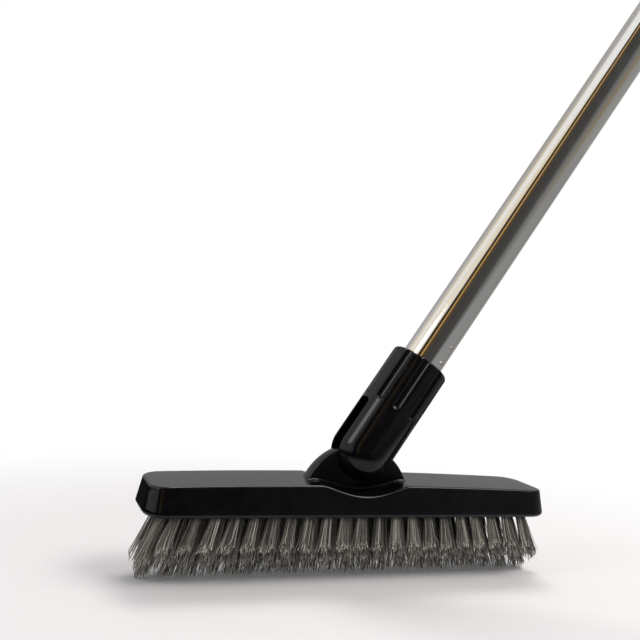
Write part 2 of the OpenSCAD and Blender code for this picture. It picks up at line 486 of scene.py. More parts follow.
RECIPES: dict[Finish, MouldedPlastic | DrawnMetal | BristleFibre] = {
    Finish.BLACK_PLASTIC: MouldedPlastic(
        (0.0018, 0.0018, 0.0026), (0.004, 0.004, 0.005), (0.12, 0.2), specular=0.27),
    Finish.DARK_PLASTIC: MouldedPlastic((0.03, 0.03, 0.032), (0.05, 0.05, 0.05), (0.4, 0.55)),
    Finish.RED_GRIP: MouldedPlastic(
        (0.36, 0.012, 0.006), (0.42, 0.03, 0.018), (0.22, 0.38), coat=0.3, wave_scale=35.0,
        grain_scale=900.0, bump=0.00015),
    Finish.POLE_CHROME: DrawnMetal(
        (0.78, 0.775, 0.765), (0.7, 0.6, 0.43), (0.05, 0.16), lean=31.5),
    Finish.PIN_STEEL: DrawnMetal((0.55, 0.55, 0.56), (0.5, 0.47, 0.42), (0.22, 0.4)),
    Finish.ANCHOR_WIRE: DrawnMetal((0.6, 0.6, 0.58), (0.5, 0.45, 0.36), (0.25, 0.45)),
    Finish.GREY_BRISTLE: BristleFibre(),
}


@dataclass
class Dresser:
    """Keeps one material for each finish, and dresses pieces and carried-over nodes."""

    made: dict[Finish, Material] = field(default_factory=dict)

    def material(self, finish: Finish) -> Material:
        """Gives a finish's material, which is built once.

        Args:
            finish: The finish.

        Returns:
            Its material.
        """
        if finish not in self.made:
            self.made[finish] = RECIPES[finish].material(finish.value)
        return self.made[finish]

    def dress(self, piece: Object, body: Body, finish: Finish, node: str) -> None:
        """Gives a piece its finish and its body, and hides the CAD node that it stands for.

        Args:
            piece: The new piece.
            body: The body that it rides on.
            finish: Its finish.
            node: The CAD node that it replaces.
        """
        piece.data.materials.clear()
        piece.data.materials.append(self.material(finish))
        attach(piece, body.value)
        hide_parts(node)
        LOG.info("%s: %d faces, %s, on %s", piece.name, len(piece.data.polygons),
                 finish.value, body.value)

    def redress(self, node: str, finish: Finish) -> None:
        """Gives a carried-over CAD node its material.

        Args:
            node: The node's name.
            finish: Its finish.
        """
        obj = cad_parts[node]
        if not obj.material_slots:
            obj.data.materials.append(self.material(finish))
        for slot in obj.material_slots:
            slot.material = self.material(finish)
        LOG.info("%s keeps its solid, in %s", node, finish.value)


# ---------------------------------------------------------------- the head


@dataclass
class BrushBlock:
    """The moulded block with its domed tongue: sizes as the solid has them, surfaces smooth."""

    length: float = 215.0
    width: float = 38.0
    draft: float = 2.2
    mid_h: float = 15.5
    end_h: float = 13.5
    corner_r: float = 11.0
    low_r: float = 2.0
    top_r: float = 1.1
    under: float = 32.5
    dip_depth: float = 5.0
    dip_half: float = 23.4
    tongue_t: float = 8.2
    tongue_r: float = 29.3
    tongue_z: float = 36.0
    tongue_edge: float = 1.2
    floor_z: float = 40.6
    root_r: float = 1.6
    root_sink: float = 0.05
    fine_half: float = 30.0
    fine_step: float = 0.9375
    coarse_steps: int = 27
    corner_steps: int = 19
    end_steps: int = 3
    fillet_steps: int = 9
    wall_steps: int = 7
    dome_steps: int = 121
    top_steps: int = 41
    base_steps: int = 5
    foot_steps: int = 90
    bend_steps: int = 15

    def top(self, x: Array) -> Array:
        """Height of the top at x: the crown, less a dip of (1 - share of x squared) to the 1.5."""
        share = np.clip(1.0 - (x / self.dip_half) ** 2, 0.0, 1.0) ** 1.5
        return self.crown(x) - self.dip_depth * share

    def crown(self, x: Array) -> Array:
        """Height of the block without its dips, which falls with x squared."""
        return self.mid_h - (self.mid_h - self.end_h) * (2.0 * x / self.length) ** 2

    def stations(self) -> tuple[Array, Array, Array, Array]:
        """Places round one half of the outline, over y >= 0, from the +X end to the -X end.

        Returns:
            For each place, the fixed centre's x and y, and the direction from it in which the
            inset acts.
        """
        a, b = self.length / 2 - self.corner_r, self.width / 2 - self.corner_r
        turn = np.radians(np.linspace(0.0, 90.0, self.corner_steps))
        fine = np.arange(-self.fine_half, self.fine_half + 0.01, self.fine_step)
        coarse = np.linspace(self.fine_half, a, self.coarse_steps + 1)[1:]
        side = np.concatenate([-coarse[::-1], fine, coarse])[::-1][1:-1]
        end_y = np.linspace(0.0, b, self.end_steps + 1)[:-1]
        end, along = np.zeros_like(end_y), np.zeros_like(side)
        cap = np.full(len(end) + len(turn), a)
        cx = np.concatenate([cap, side, -cap])
        cy = np.concatenate([end_y, np.full(2 * len(turn) + len(side), b), end_y[::-1]])
        nx = np.concatenate([end + 1.0, np.cos(turn), along, -np.cos(turn[::-1]), end - 1.0])
        ny = np.concatenate([end, np.sin(turn), along + 1.0, np.sin(turn[::-1]), end])
        return cx, cy, nx, ny

    def levels(self) -> tuple[Array, Array, Array]:
        """Levels up the side: fillet under, drafted wall, fillet over.

        Returns:
            For each level, the fillet's inset, its height offset (none on the wall), and its
            share of the block's height.
        """
        over = np.radians(np.linspace(0.0, 90.0, self.fillet_steps))
        low = over[::-1]
        wall = np.linspace(0.0, 1.0, self.wall_steps + 2)[1:-1]
        inset = np.concatenate([self.low_r * (1 - np.cos(low)), np.zeros_like(wall),
                                self.top_r * (1 - np.cos(over))])
        rise = np.concatenate([self.low_r * (1 - np.sin(low)), np.full_like(wall, np.nan),
                               self.top_r * (np.sin(over) - 1)])
        return inset, rise, np.concatenate([np.zeros_like(low), wall, np.ones_like(over)])

    def wall(self) -> Array:
        """Points of the block's side: each outline place at each level, less draft and fillets.

        Returns:
            Points, shaped (levels, places, 3), over the half with y >= 0.
        """
        cx, cy, nx, ny = self.stations()
        inset, rise, share = (column[:, None] for column in self.levels())
        x_rough = cx + nx * self.corner_r
        height = self.top(x_rough)[None, :]
        z = np.where(share == 0.0, rise, height + rise)
        straight = self.low_r + share * (height - self.top_r - self.low_r)
        z = np.where(np.isnan(rise), straight, z)
        full = self.crown(x_rough)[None, :] - self.top_r - self.low_r
        reach = self.corner_r - (inset + self.draft * np.clip((z - self.low_r) / full, 0.0, 1.0))
        return np.stack([cx + nx * reach, cy + ny * reach, self.under + z], axis=-1)

    def block(self, shell: Shell) -> None:
        """Adds the block: its wall on both sides, its crowned top and its flat underside.

        Args:
            shell: The mesh that takes the patches.
        """
        half = self.wall()
        shell.grid(half)
        shell.grid(half[:, ::-1] * np.array([1.0, -1.0, 1.0]))
        for edge, steps, flip in ((half[-1], self.top_steps, False),
                                  (half[0], self.base_steps, True)):
            across = edge[:, 1:2] * np.linspace(-1.0, 1.0, steps)
            face = np.stack(np.broadcast_arrays(edge[:, :1], across, edge[:, 2:]), axis=-1)
            shell.grid(face, flip=flip)

    def dome(self, turn: Array) -> tuple[Array, Array, Array]:
        """The dome's outline, along rays from a point on the tongue's floor.

        A ray's length t is the larger root of |o + t d| = radius, where o is the point as seen
        from the circle's centre and d is the ray's direction.

        Args:
            turn: Angles of the rays from +X, in radians.

        Returns:
            The outline's x and z, and its normal's angle.
        """
        c, t, oz = np.cos(turn), np.sin(turn), self.floor_z - self.tongue_z
        b = oz * t
        reach = np.sqrt(b * b - (oz * oz - self.tongue_r ** 2)) - b
        px, pz = reach * c, reach * t
        return px, self.floor_z + pz, np.arctan2(oz + pz, px)

    def tongue(self, shell: Shell) -> None:
        """Adds the tongue: a dome of even thickness whose edges are rounded all round.

        A point of the edge is the circle's point, drawn in along its normal by 1 less the cosine
        of the fillet's angle and moved out across by its sine.

        Args:
            shell: The mesh that takes the patches.
        """
        px, pz, normal = self.dome(np.linspace(0.0, math.pi, self.dome_steps))
        edge = np.radians(np.linspace(-90.0, 90.0, 2 * self.fillet_steps + 1))[:, None]
        inset = self.tongue_edge * (1.0 - np.cos(edge))
        flat = self.tongue_t / 2 - self.tongue_edge
        side = np.sign(edge) * flat + self.tongue_edge * np.sin(edge)
        x = px - inset * np.cos(normal)
        z = np.maximum(pz - inset * np.sin(normal), self.floor_z)
        rim = np.stack(np.broadcast_arrays(x, side, z), axis=-1)
        shell.grid(rim, flip=True)
        shares = np.linspace(0.0, 1.0, self.fillet_steps)[:, None, None]
        for row, flip in ((rim[0], True), (rim[-1], False)):
            centre = np.array([0.0, row[0, 1], self.floor_z])
            shell.grid(centre + (row[None] - centre) * shares, flip=flip)
        shell.grid(np.stack([rim[:, 0], rim[:, -1]]), flip=True)

    def root_fillet(self, shell: Shell) -> None:
        """Adds the concave fillet where the tongue stands on the block, all round its foot.

        Each section is a Bezier curve from the tongue's wall, by way of the corner, to the
        block's top, and both ends sink a little into what they meet.

        Args:
            shell: The mesh that takes the patch.
        """
        half_t, r, rr = self.tongue_t / 2, self.tongue_edge, self.root_r
        high = self.under + self.mid_h - self.tongue_z
        lx = math.sqrt(self.tongue_r ** 2 - high ** 2)
        lift = math.sqrt(self.tongue_r ** 2 - (high + rr) ** 2)
        xs = np.linspace(-(lx - r), lx - r, self.foot_steps)
        turn = np.radians(np.linspace(90.0, -90.0, self.bend_steps + 2))[1:-1]
        side, bend = np.ones_like(xs), np.full_like(turn, lx - r)
        bend_y = (half_t - r) * np.sign(np.sin(turn))
        cx = np.concatenate([xs, bend, xs[::-1], -bend])
        cy = np.concatenate([side * (half_t - r), bend_y, -side * (half_t - r), -bend_y])
        nx = np.concatenate([0.0 * side, np.cos(turn), 0.0 * side, -np.cos(turn)])
        ny = np.concatenate([side, np.sin(turn), -side, -np.sin(turn)])
        out = np.stack([nx, ny], axis=-1)
        corner = np.stack([cx, cy], axis=-1) + out * r
        outer = np.stack([cx, cy], axis=-1) + out * (r + rr)
        inner = corner - out * self.root_sink
        inner[:, 0] -= np.abs(nx) * np.sign(cx) * (lx - lift)
        z_corner = self.under + self.top(corner[:, 0])
        z_outer = self.under + self.top(outer[:, 0]) - self.root_sink
        a, b, c = (np.column_stack(pair) for pair in (
            (inner, z_corner + rr), (corner, z_corner), (outer, z_outer)))
        v = np.linspace(0.0, 1.0, self.fillet_steps)[:, None, None]
        shell.grid((1 - v) ** 2 * a + 2 * v * (1 - v) * b + v * v * c, wrap=True)

    def build(self, dresser: Dresser) -> None:
        """Builds and dresses the block.

        Args:
            dresser: The finishes.
        """
        shell = Shell()
        self.block(shell)
        self.tongue(shell)
        self.root_fillet(shell)
        piece = shell.build("brush_block_moulding")
        dresser.dress(piece, Body.HEAD, Finish.BLACK_PLASTIC, "brush_block")


@dataclass
class BristleField:
    """Five rows of tufts, each a fan of fine filaments trimmed to a V.

    `splay` is the slope that a filament at a hole's rim has more than one in its middle, and
    `wander` how far slopes stray, both along the row and across it. Where a filament ends,
    `ragged` is the usual unevenness, `stray` the share of filaments that stand short of the cut
    or bend out at the tip more, and `stray_cut` how short they may be.
    """

    under: float = 32.5
    sunk: float = 0.3
    pitch: float = 9.2
    row_pitch: float = 6.4
    tufts: int = 21
    end_lean: float = 20.0
    side_lean: float = 5.0
    trim_rise: float = 1.19
    ridge_flat: float = 0.5
    hole_r: float = 2.05
    per_tuft: int = 80
    fibre_r: float = 0.22
    thickness: Span = (0.8, 1.2)
    pinch: float = 0.35
    splay: Span = (0.062 * 1.35, 0.062 * 0.9)
    wander: Span = (0.028, 0.02)
    bend: float = 0.00045
    crimp: float = 0.09
    crimp_across: float = 0.6
    crimp_turn: Span = (5.0, 2.0)
    flick: float = 0.45
    side_drop: float = 20.0
    ragged: float = 0.55
    stray: float = 0.12
    stray_cut: float = 1.7
    end_gap: float = 0.4
    shares: tuple[float, ...] = (0.0, 0.25, 0.5, 0.7, 0.82, 0.9, 0.96, 1.0)
    # Painted shade: each row's tones are scaled by this, the middle row darkest, as if shaded by
    # the rows beside it.
    row_painted_shade: tuple[float, ...] = (0.72, 0.84, 1.0)
    seed: int = 4127

    def centres(self, row: int) -> Array:
        """Tuft places along a row; the rows on each side of the middle one have one more."""
        n = self.tufts + abs(row) % 2
        return (np.arange(n) - (n - 1) / 2) * self.pitch

    def fibres(self, row: int, rng: np.random.Generator) -> tuple[Array, Array]:
        """Roots and slopes of a row's filaments.

        A filament leaves its hole at a random place of the disc, leans with its tuft, spreads in
        proportion to its distance from the tuft's middle, and strays a little on its own.

        Args:
            row: The row's number, from -2 to 2.
            rng: The random source.

        Returns:
            Root x and y, and the slopes in x and y.
        """
        last = (self.tufts / 2) * self.pitch
        x0 = np.repeat(self.centres(row), self.per_tuft)
        n = len(x0)
        radius = self.hole_r * np.sqrt(rng.random(n))
        angle = rng.random(n) * TURN
        off = radius[:, None] * np.stack([np.cos(angle), np.sin(angle)], axis=-1)
        lean_x = np.tan(np.radians(self.end_lean * x0 / last))
        lean_y = math.tan(math.radians(self.side_lean * row / 2))
        wander = np.stack([rng.normal(0, share, n) for share in self.wander], axis=-1)
        lean = np.stack([lean_x, np.full(n, lean_y)], axis=-1)
        root = np.stack([x0, np.full(n, row * self.row_pitch)], axis=-1) + off
        return root, lean + off / self.hole_r * self.splay + wander

    def tip_height(self, root: Array, slope: Array, rng: np.random.Generator) -> Array:
        """Height at which each filament is cut by the V, with a little unevenness.

        The V's surface is z = rise |y|, and the filament is y = y0 + slope (under - z), so
        z = rise (|y0| + under s) / (1 + rise s), where s is the slope away from the middle.

        Args:
            root: Root x and y.
            slope: Slopes in x and y.
            rng: The random source.

        Returns:
            The heights.
        """
        side = np.where(root[:, 1] + slope[:, 1] * self.side_drop < 0, -1.0, 1.0)
        y0, s = root[:, 1] * side, slope[:, 1] * side
        cut = self.trim_rise * (y0 + self.under * s) / (1.0 + self.trim_rise * s)
        ragged = np.abs(rng.normal(0, self.ragged, len(y0)))
        short = (rng.random(len(y0)) < self.stray) * rng.random(len(y0))
        return np.maximum(cut - self.ridge_flat, 0.0) + ragged + self.stray_cut * short

    def strands(self, shell: Shell, row: int) -> None:
        """Adds a row's filaments: three-sided tubes with a slight crimp, pinched at the tip.

        The centre line is root + slope h + bend h squared + a sine of h across it + a flick that
        grows with the 7th power of h, for h from 0 at the root to the filament's own length. Its
        radius is pinched by the 6th power of h.

        Args:
            shell: The mesh that takes the patches.
            row: The row's number.
        """
        rng = np.random.default_rng(self.seed + 17 * row)
        root, slope = self.fibres(row, rng)
        tip = self.tip_height(root, slope, rng)
        n, share = len(root), np.array(self.shares)
        top = self.under + self.sunk
        drop = (top - tip)[:, None] * share
        bend = rng.normal(0, self.bend, (n, 2))
        phase = rng.random((n, 2)) * TURN
        slow, quick = self.crimp_turn
        crimp = self.crimp * share * np.sin(phase[:, :1] + share * (slow + quick * phase[:, 1:]))
        flick = self.flick * rng.normal(0, 1.0, (n, 2)) * (1.0 + (rng.random((n, 1)) < self.stray))
        cx, cy = (root[:, k, None] + slope[:, k, None] * drop + bend[:, k, None] * drop ** 2
                  + flick[:, k, None] * share ** 7 for k in (0, 1))
        limit = float(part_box(f"bristle_row_{row + 3}")[1][0]) / MM - self.end_gap
        cx = np.clip(cx + crimp, -limit, limit)[..., None]
        cy = (cy + crimp[:, ::-1] * self.crimp_across)[..., None]
        z = np.maximum(top - drop, 0.0)[..., None]
        turn = phase[:, :1, None] + np.arange(3) * (TURN / 3)
        r = self.fibre_r * rng.uniform(*self.thickness, (n, 1, 1))
        r = r * (1.0 - self.pinch * share ** 6)[:, None]
        p = np.stack(np.broadcast_arrays(cx + r * np.cos(turn), cy + r * np.sin(turn), z), axis=-1)
        # A filament's tone is random, times its row's painted shade.
        tone_and_painted_shade = rng.random(n)[:, None, None] * self.row_painted_shade[abs(row)]
        uv = np.stack(np.broadcast_arrays(tone_and_painted_shade, share[:, None], np.ones(3))[:2], axis=-1)
        self.tubes(shell, p, uv)

    @staticmethod
    def tubes(shell: Shell, p: Array, uv: Array) -> None:
        """Adds many three-sided tubes at once, each with both ends closed.

        Args:
            shell: The mesh that takes them.
            p: Points, shaped (tubes, rings, 3, 3).
            uv: Texture coordinates, shaped (tubes, rings, 3, 2).
        """
        ends = np.repeat(p.mean(axis=2, keepdims=True), 3, 2)
        p = np.concatenate([ends[:, :1], p, ends[:, -1:]], axis=1)
        uv = np.concatenate([uv[:, :1], uv, uv[:, -1:]], axis=1)
        n, rings = p.shape[:2]
        i = (np.arange(n)[:, None, None] * rings + np.arange(rings - 1)[None, :, None]) * 3
        j = np.arange(3)
        k = (j + 1) % 3
        shell.take(p, uv, np.stack([i + j, i + 3 + j, i + 3 + k, i + k], axis=-1))

    def build(self, dresser: Dresser) -> None:
        """Builds and dresses the five rows.

        Args:
            dresser: The finishes.
        """
        for number, row in enumerate((-2, -1, 0, 1, 2), start=1):
            shell = Shell()
            self.strands(shell, row)
            piece = shell.build(f"bristle_tufts_{number}", merge=0.0005, sharp=180.0)
            dresser.dress(piece, Body.HEAD, Finish.GREY_BRISTLE, f"bristle_row_{number}")


# ---------------------------------------------------------------- the handle


@dataclass(frozen=True)
class HandleAxis:
    """The pole's own frame: s runs up the pole from the swivel pin."""

    pin_z: float = 58.2
    lean: float = 31.5

    def place(self, x: Array, y: Array, s: Array) -> Array:
        """Turns points of the handle's frame by the pole's lean and lifts them to the pin.

        Args:
            x: Across the pole, in the plane of its lean.
            y: Along the pin.
            s: Up the pole.

        Returns:
            Points in the object's frame, with the coordinates last.
        """
        c, t = math.cos(math.radians(self.lean)), math.sin(math.radians(self.lean))
        x, y, s = np.broadcast_arrays(x, y, s)
        return np.stack([x * c + s * t, y, self.pin_z - x * t + s * c], axis=-1)

    def ring(self, r: Array, a: Array, s: Array) -> Array:
        """Points at radius r and angle a round the pole's axis, s up it."""
        return self.place(r * np.cos(a), r * np.sin(a), s)


@dataclass(frozen=True)
class SocketSteps:
    """Into how many points each curve of the socket is divided."""

    flute: int = 19
    land: int = 14
    curl: int = 14
    straight: int = 8
    base: int = 5
    rim: int = 10
    roof: int = 26
    dome: int = 44
    rise: int = 16
    arc: int = 36
    corner: int = 7
    wall: int = 9
    bore: int = 64


@dataclass
class SwivelSocket:
    """The forked, fluted socket: two domed cheeks under a collar with grip flutes round it."""

    axis: HandleAxis = HandleAxis()
    steps: SocketSteps = SocketSteps()
    radius: float = 15.6
    rim_s: float = 59.5
    rim_r: float = 2.0
    roof_s: float = 27.7
    roof_r: float = 1.5
    slot_half: float = 4.5
    slot_edge: float = 0.5
    edge_share: float = 0.45
    dome_s: float = 4.5
    dome_start: float = 0.01
    dome_pack: float = 0.7
    mouth_r: float = 11.1
    mouth_s: float = 51.8
    mouth_edge: Span = (0.35, 0.1)
    floor_r: float = 2.0
    flutes: int = 10
    flute_turn: float = 178.0
    flute_r: float = 3.0
    flute_depth: float = 1.3
    flute_end: float = 32.0
    lip_gap: float = 0.004
    pin_r: float = 2.5
    pin_end: float = 13.0
    sharp: float = 32.0
    weld: float = 0.004

    def flute_far(self) -> float:
        """Distance of a flute's centre line from the axis."""
        return self.radius + self.flute_r - self.flute_depth

    def collar_radius(self, a: Array, s: Array) -> Array:
        """Outer radius of the collar: a circle cut by flutes with round lower ends.

        The ray at angle d from a flute's centre line, at distance D, meets the flute of radius f
        at D cos d less the root of f squared less D squared sin squared d.

        Args:
            a: Angles round the axis.
            s: Places along the axis.

        Returns:
            The radii.
        """
        step = TURN / self.flutes
        d = (a - math.radians(self.flute_turn) + step / 2) % step - step / 2
        far = self.flute_far()
        f2 = self.flute_r ** 2 - np.clip(self.flute_end - s, 0.0, None) ** 2
        inside = f2 - (far * np.sin(d)) ** 2
        cut = far * np.cos(d) - np.sqrt(np.maximum(inside, 0.0))
        return np.where(inside > 0, np.minimum(self.radius, cut), self.radius)

    def collar_angles(self) -> Array:
        """Angles round the collar, close at the flutes' lips, with the slot's edges among them.

        Returns:
            The angles, in order.
        """
        step, far = TURN / self.flutes, self.flute_far()
        lip = math.acos((self.radius ** 2 + far ** 2 - self.flute_r ** 2)
                        / (2 * self.radius * far))
        close = [end + off for end in (-lip, lip) for off in (-self.lip_gap, self.lip_gap)]
        inner = np.concatenate([np.linspace(-lip, lip, self.steps.flute),
                                np.linspace(lip, step - lip, self.steps.land)[1:-1], close])
        around = (np.arange(self.flutes)[:, None] * step + math.radians(self.flute_turn)
                  + inner[None, :])
        edge = math.asin(self.slot_half / self.radius)
        slot = np.array([edge, math.pi - edge, math.pi + edge, -edge])
        return np.unique(np.round(np.concatenate([around.ravel(), slot]) % TURN, 5))

    def roof_height(self, y: Array) -> Array:
        """Height of the slot's roof: flat, and rounded into the cheeks by a quarter circle."""
        over = np.clip(np.abs(y) - (self.slot_half - self.roof_r), 0.0, self.roof_r)
        return self.roof_s - self.roof_r + np.sqrt(np.maximum(self.roof_r ** 2 - over ** 2, 0.0))

    def collar(self, shell: Shell) -> None:
        """Adds the collar: fluted wall, rounded rim, mouth, and the slot's roof below.

        Args:
            shell: The mesh that takes the patches.
        """
        a, steps = self.collar_angles(), self.steps
        base = self.roof_height(self.radius * np.sin(a))
        end, width = self.flute_end, len(a)
        start = end - self.flute_r
        curl = end - self.flute_r * np.cos(np.linspace(0.0, math.pi / 2, steps.curl))
        top = np.concatenate([curl, np.linspace(end, self.rim_s - self.rim_r, steps.straight)[1:]])
        share = np.linspace(0.0, 1.0, steps.base)[:-1, None]
        rows = np.concatenate([share * (start - base) + base, np.repeat(top[:, None], width, 1)])
        r = self.collar_radius(a[None, :], rows)
        shell.grid(self.axis.ring(r, a, rows), wrap=True)
        turn = np.radians(np.linspace(0.0, 90.0, steps.rim))[:, None]
        rim = np.minimum(r[-1:], self.radius - self.rim_r + self.rim_r * np.cos(turn))
        shell.grid(self.axis.ring(rim, a, self.rim_s - self.rim_r + self.rim_r * np.sin(turn)),
                   wrap=True)
        wide, near = self.mouth_edge
        inner = np.array([self.mouth_r + wide, self.mouth_r + near, self.mouth_r, self.mouth_r,
                          self.floor_r])[:, None]
        deep = self.rim_s - self.mouth_s
        drop = np.array([0.0, 0.0, near, wide, deep, deep])[:, None]
        radii = np.concatenate([rim[-1:], np.repeat(inner, width, 1)])
        shell.grid(self.axis.ring(radii, a, self.rim_s - drop), wrap=True)
        share = np.linspace(0.0, 1.0, steps.roof)[:, None]
        x, y = r[0] * np.cos(a) * share, r[0] * np.sin(a) * share
        under = self.roof_height(y)
        under[-1] = base
        shell.grid(self.axis.place(x, y, under), wrap=True)

    def cheek(self, shell: Shell, side: float) -> None:
        """Adds one cheek as a stack of sections, from its domed end up to the slot's roof.

        A section is the part of a circle beyond the slot's wall, with its two corners rounded.
        The circle's radius is the collar's, and in the dome it is that times the cosine of the
        angle down the dome.

        Args:
            shell: The mesh that takes the patches.
            side: -1 for the front cheek and 1 for the back one.
        """
        h, steps = self.slot_half, self.steps
        dome = (math.acos((h + self.dome_start) / self.radius)
                * np.linspace(1.0, 0.0, steps.dome) ** self.dome_pack)
        rise = np.linspace(self.dome_s, self.roof_s - self.roof_r, steps.rise)[1:]
        rho = np.concatenate([self.radius * np.cos(dome), np.full(len(rise), self.radius)])[:, None]
        s = np.concatenate([self.dome_s - self.radius * np.sin(dome), rise])[:, None]
        f = np.minimum(self.slot_edge, self.edge_share * (rho - h))
        xc = np.sqrt(np.maximum((rho - f) ** 2 - (h + f) ** 2, 0.0))
        low = np.arctan2(h + f, xc)
        angles = low + (math.pi / 2 - low) * np.linspace(0.0, 1.0, steps.arc)
        corner = -math.pi / 2 + (low + math.pi / 2) * np.linspace(0.0, 1.0, steps.corner)[:-1]
        x = np.concatenate([xc + f * np.cos(corner), rho * np.cos(angles)], axis=1)
        y = np.concatenate([h + f + f * np.sin(corner), rho * np.sin(angles)], axis=1)
        wall = xc * np.linspace(-1.0, 1.0, steps.wall)[1:-1]
        x = np.concatenate([wall, x, -x[:, -2::-1]], axis=1)
        y = np.concatenate([np.full_like(wall, h), y, y[:, -2::-1]], axis=1)
        s = np.repeat(s, x.shape[1], 1)
        x = np.concatenate([x, np.zeros_like(x[-1:])])
        y = np.concatenate([y, np.full_like(y[-1:], (h + self.radius) / 2)])
        s = np.concatenate([s, s[-1:]])
        shell.grid(self.axis.place(x, side * y, s), wrap=True, flip=side < 0)

    def bore(self, piece: Object) -> None:
        """Cuts the pin's round hole into the back cheek, down to the pin's end.

        Args:
            piece: The back cheek, as a closed mesh.
        """
        cutter = Shell()
        a = np.linspace(0.0, TURN, self.steps.bore, endpoint=False)
        r = np.array([0.0, self.pin_r, self.pin_r, 0.0])[:, None]
        y = np.array([self.pin_end, self.pin_end, 2 * self.radius, 2 * self.radius])[:, None]
        cutter.grid(self.axis.place(r * np.cos(a), y, r * np.sin(a)), wrap=True, flip=True)
        tool = cutter.build("pin_hole_cutter")
        cut = piece.modifiers.new("pin_hole", "BOOLEAN")
        cut.operation, cut.solver, cut.object = "DIFFERENCE", "EXACT", tool
        seen = piece.evaluated_get(bpy.context.evaluated_depsgraph_get())
        done = bpy.data.meshes.new_from_object(seen)
        piece.modifiers.clear()
        piece.data = done
        bpy.data.objects.remove(tool)

    def build(self, dresser: Dresser) -> None:
        """Builds and dresses the socket.

        Args:
            dresser: The finishes.
        """
        back, shell = Shell(), Shell()
        self.cheek(back, 1.0)
        cheek = back.build("back_cheek", self.weld, self.sharp)
        self.bore(cheek)
        self.collar(shell)
        self.cheek(shell, -1.0)
        piece = shell.build("swivel_socket_moulding", self.weld, self.sharp)
        join(piece, cheek, self.sharp)
        dresser.dress(piece, Body.HANDLE, Finish.BLACK_PLASTIC, "swivel_socket")


@dataclass
class PoleTube:
    """The chromed tube, with two crimp marks above the socket's rim.

    `around` and `along` count the steps at the marks and beside them, round the tube, and below
    and above the marks, along it.
    """

    axis: HandleAxis = HandleAxis()
    radius: float = 11.0
    wall: float = 0.6
    low_s: float = 51.9
    length: float = 1164.0
    marks: Span = (62.7, 72.2)
    mark_angle: float = -66.0
    mark_r: float = 2.0
    mark_depth: float = 0.5
    mark_step: float = 0.2
    mark_turn: float = 0.2
    mark_clear: Span = (2.6, 3.0)
    around: tuple[int, int] = (41, 150)
    along: tuple[int, int] = (4, 60)

    def build(self, dresser: Dresser) -> None:
        """Builds and dresses the tube: r = radius less a round dimple where a mark is.

        A dimple is depth times (1 less (d over its radius) squared) to the 1.5, where d is the
        distance from its centre over the surface.

        Args:
            dresser: The finishes.
        """
        shell = Shell()
        across = np.linspace(-self.mark_turn, self.mark_turn, self.around[0])
        fine_a = np.radians(self.mark_angle) + across
        rest = np.linspace(fine_a[-1], fine_a[0] + TURN, self.around[1])[1:-1]
        a = np.concatenate([fine_a, rest])
        reach, top = self.mark_r + self.mark_step, self.low_s + self.length
        fine_s = [np.arange(m - reach, m + reach + 0.01, self.mark_step) for m in self.marks]
        first, last = self.marks[0] - self.mark_clear[0], self.marks[1] + self.mark_clear[1]
        s = np.concatenate([[self.low_s], np.linspace(self.low_s + 1, first, self.along[0]),
                            *fine_s, np.linspace(last, top, self.along[1])])[:, None]
        r = np.full((len(s), len(a)), self.radius)
        arc = (a - math.radians(self.mark_angle)) * self.radius
        for mark in self.marks:
            d2 = (arc ** 2 + (s - mark) ** 2) / self.mark_r ** 2
            r -= self.mark_depth * np.clip(1.0 - d2, 0.0, 1.0) ** 1.5
        shell.grid(self.axis.ring(r, a, s), wrap=True)
        inner = self.radius - self.wall
        profile = np.array([self.radius, inner, inner, self.radius])[:, None]
        ends = np.array([top, top, self.low_s, self.low_s])[:, None]
        shell.grid(self.axis.ring(profile, a, ends), wrap=True)
        piece = shell.build("chromed_pole", sharp=50.0)
        dresser.dress(piece, Body.HANDLE, Finish.POLE_CHROME, "pole_tube")


@dataclass
class HandGrip:
    """The dipped red grip: a slightly flared lower lip, a straight barrel and a round top."""

    axis: HandleAxis = HandleAxis()
    pole_r: float = 11.0
    wall: float = 2.4
    low_s: float = 1094.9
    length: float = 136.0
    dome: float = 18.0
    dome_power: float = 0.58
    flare: float = 0.7
    flare_h: float = 8.0
    lip_r: float = 0.8
    inside: tuple[Span, ...] = ((0.0, 6.0), (0.0, 0.6), (0.6, 0.0))
    sides: int = 160
    lip_steps: int = 9
    flare_steps: int = 13
    barrel_steps: int = 30
    dome_steps: int = 40

    def build(self, dresser: Dresser) -> None:
        """Builds and dresses the grip from its turned profile.

        The barrel's radius falls from the lip by half a cosine, and the top is r = radius
        (1 less v squared) to the dome's power, for v from 0 to 1 up the dome.

        Args:
            dresser: The finishes.
        """
        shell = Shell()
        grip_r, top = self.pole_r + self.wall, self.low_s + self.length
        inside = np.array(self.inside) + (self.pole_r, self.low_s)
        lip = np.radians(np.linspace(-90.0, 0.0, self.lip_steps))
        u = np.linspace(0.0, 1.0, self.flare_steps)[1:]
        flare_s = self.low_s + self.lip_r + self.flare_h * u
        barrel = np.linspace(flare_s[-1], top - self.dome, self.barrel_steps)[1:]
        v = np.sin(np.linspace(0.0, math.pi / 2, self.dome_steps))[1:]
        radius = np.concatenate([
            inside[:, 0], grip_r + self.flare - self.lip_r + self.lip_r * np.cos(lip),
            grip_r + self.flare * (1 + np.cos(math.pi * u)) / 2, np.full(len(barrel), grip_r),
            grip_r * np.maximum(1 - v * v, 0.0) ** self.dome_power])
        s = np.concatenate([
            inside[:, 1], self.low_s + self.lip_r + self.lip_r * np.sin(lip), flare_s, barrel,
            top - self.dome + self.dome * v])
        a = np.linspace(0.0, TURN, self.sides, endpoint=False)
        shell.grid(self.axis.ring(radius[:, None], a, s[:, None]), wrap=True)
        piece = shell.build("red_hand_grip", sharp=50.0)
        dresser.dress(piece, Body.HANDLE, Finish.RED_GRIP, "hand_grip")


# ---------------------------------------------------------------- the studio


